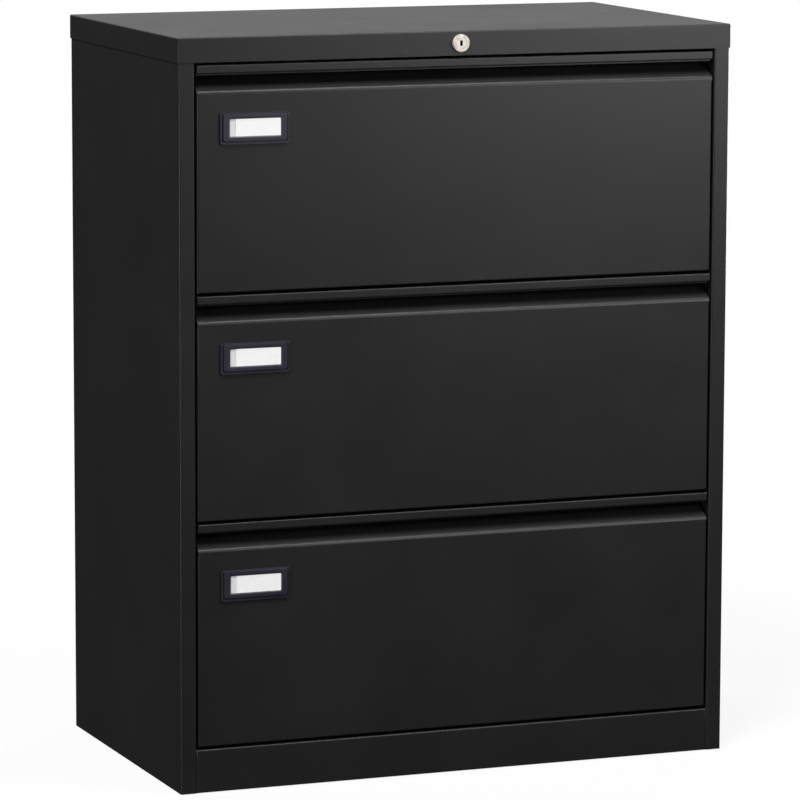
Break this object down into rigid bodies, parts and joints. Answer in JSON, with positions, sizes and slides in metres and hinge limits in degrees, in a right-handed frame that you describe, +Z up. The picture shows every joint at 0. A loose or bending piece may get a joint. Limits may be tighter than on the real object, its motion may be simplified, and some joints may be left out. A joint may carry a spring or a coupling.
{
  "type": "lateral filing cabinet",
  "caption": "Upright sheet-steel cabinet, wider than deep, with stacked drawers for hanging files on telescopic runners, full-width finger pulls, label holders and a lock in the cap.",
  "frame": {"origin": "on the floor, under the middle of the overall box", "axes": "+Z up, +Y from the drawer fronts to the back, +X to the right as seen from the front"},
  "size_m": [0.8, 0.47, 1.016],
  "materials": {
    "powder_coat": "fine satin black powder coat",
    "zinc_steel": "zinc-plated steel",
    "nickel": "bright nickel plate",
    "plug_metal": "nickel-plated brass",
    "black_plastic": "satin moulded plastic",
    "label_card": "plain white card",
    "raw_iron": "rough cast plate"
  },
  "bodies": {
    "cabinet": {"top_cap": "powder_coat", "back_panel": "powder_coat", "bottom_panel": "powder_coat", "kick_plate": "powder_coat", "front_rail": "powder_coat", "left_side_panel": "powder_coat", "right_side_panel": "powder_coat", "left_rear_upright": "powder_coat", "right_rear_upright": "powder_coat", "counterweight": "raw_iron", "front_left_foot": "black_plastic", "front_right_foot": "black_plastic", "rear_left_foot": "black_plastic", "rear_right_foot": "black_plastic", "lock_housing": "nickel", "lock_nut": "zinc_steel", "lock_bar_guide": "zinc_steel", "drawer_1_left_cabinet_runner": "zinc_steel", "drawer_1_right_cabinet_runner": "zinc_steel", "drawer_2_left_cabinet_runner": "zinc_steel", "drawer_2_right_cabinet_runner": "zinc_steel", "drawer_3_left_cabinet_runner": "zinc_steel", "drawer_3_right_cabinet_runner": "zinc_steel"},
    "drawer_1": {"drawer_1_front": "powder_coat", "drawer_1_tray": "powder_coat", "drawer_1_front_rail": "zinc_steel", "drawer_1_rear_rail": "zinc_steel", "drawer_1_lock_catch": "zinc_steel", "drawer_1_label_frame": "black_plastic", "drawer_1_label_card": "label_card", "drawer_1_left_drawer_runner": "zinc_steel", "drawer_1_right_drawer_runner": "zinc_steel"},
    "drawer_1_middle_runners": {"drawer_1_left_middle_runner": "zinc_steel", "drawer_1_right_middle_runner": "zinc_steel"},
    "drawer_2": {"drawer_2_front": "powder_coat", "drawer_2_tray": "powder_coat", "drawer_2_front_rail": "zinc_steel", "drawer_2_rear_rail": "zinc_steel", "drawer_2_lock_catch": "zinc_steel", "drawer_2_label_frame": "black_plastic", "drawer_2_label_card": "label_card", "drawer_2_left_drawer_runner": "zinc_steel", "drawer_2_right_drawer_runner": "zinc_steel"},
    "drawer_2_middle_runners": {"drawer_2_left_middle_runner": "zinc_steel", "drawer_2_right_middle_runner": "zinc_steel"},
    "drawer_3": {"drawer_3_front": "powder_coat", "drawer_3_tray": "powder_coat", "drawer_3_front_rail": "zinc_steel", "drawer_3_rear_rail": "zinc_steel", "drawer_3_lock_catch": "zinc_steel", "drawer_3_label_frame": "black_plastic", "drawer_3_label_card": "label_card", "drawer_3_left_drawer_runner": "zinc_steel", "drawer_3_right_drawer_runner": "zinc_steel"},
    "drawer_3_middle_runners": {"drawer_3_left_middle_runner": "zinc_steel", "drawer_3_right_middle_runner": "zinc_steel"},
    "lock_plug": {"lock_plug": "plug_metal", "lock_cam": "zinc_steel"},
    "lock_slide": {"lock_slide": "zinc_steel"},
    "lock_bar": {"lock_bar": "zinc_steel"}
  },
  "joints": [
    {"name": "drawer_1_slide", "type": "slide", "parent": "cabinet", "child": "drawer_1", "axis": [0, -1, 0], "range_m": [0, 0.4]},
    {"name": "drawer_1_runner_slide", "type": "slide", "parent": "cabinet", "child": "drawer_1_middle_runners", "axis": [0, -1, 0], "range_m": [0, 0.2]},
    {"name": "drawer_2_slide", "type": "slide", "parent": "cabinet", "child": "drawer_2", "axis": [0, -1, 0], "range_m": [0, 0.4]},
    {"name": "drawer_2_runner_slide", "type": "slide", "parent": "cabinet", "child": "drawer_2_middle_runners", "axis": [0, -1, 0], "range_m": [0, 0.2]},
    {"name": "drawer_3_slide", "type": "slide", "parent": "cabinet", "child": "drawer_3", "axis": [0, -1, 0], "range_m": [0, 0.4]},
    {"name": "drawer_3_runner_slide", "type": "slide", "parent": "cabinet", "child": "drawer_3_middle_runners", "axis": [0, -1, 0], "range_m": [0, 0.2]},
    {"name": "lock_turn", "type": "hinge", "parent": "cabinet", "child": "lock_plug", "pos_m": [0, -0.235, 0.9995], "axis": [0, 1, 0], "range_deg": [0, 90]},
    {"name": "lock_slide_travel", "type": "slide", "parent": "cabinet", "child": "lock_slide", "axis": [-1, 0, 0], "range_m": [0, 0.01424]},
    {"name": "lock_bar_travel", "type": "slide", "parent": "cabinet", "child": "lock_bar", "axis": [0, 0, 1], "range_m": [0, 0.01]}
  ],
  "couplings": [
    {"joint": "drawer_1_runner_slide", "follows": "drawer_1_slide", "ratio": 0.5},
    {"joint": "drawer_2_runner_slide", "follows": "drawer_2_slide", "ratio": 0.5},
    {"joint": "drawer_3_runner_slide", "follows": "drawer_3_slide", "ratio": 0.5},
    {"joint": "lock_turn", "follows": "lock_bar_travel", "rad_per_m": 157.08},
    {"joint": "lock_slide_travel", "follows": "lock_bar_travel", "ratio": 1.4142}
  ]
}
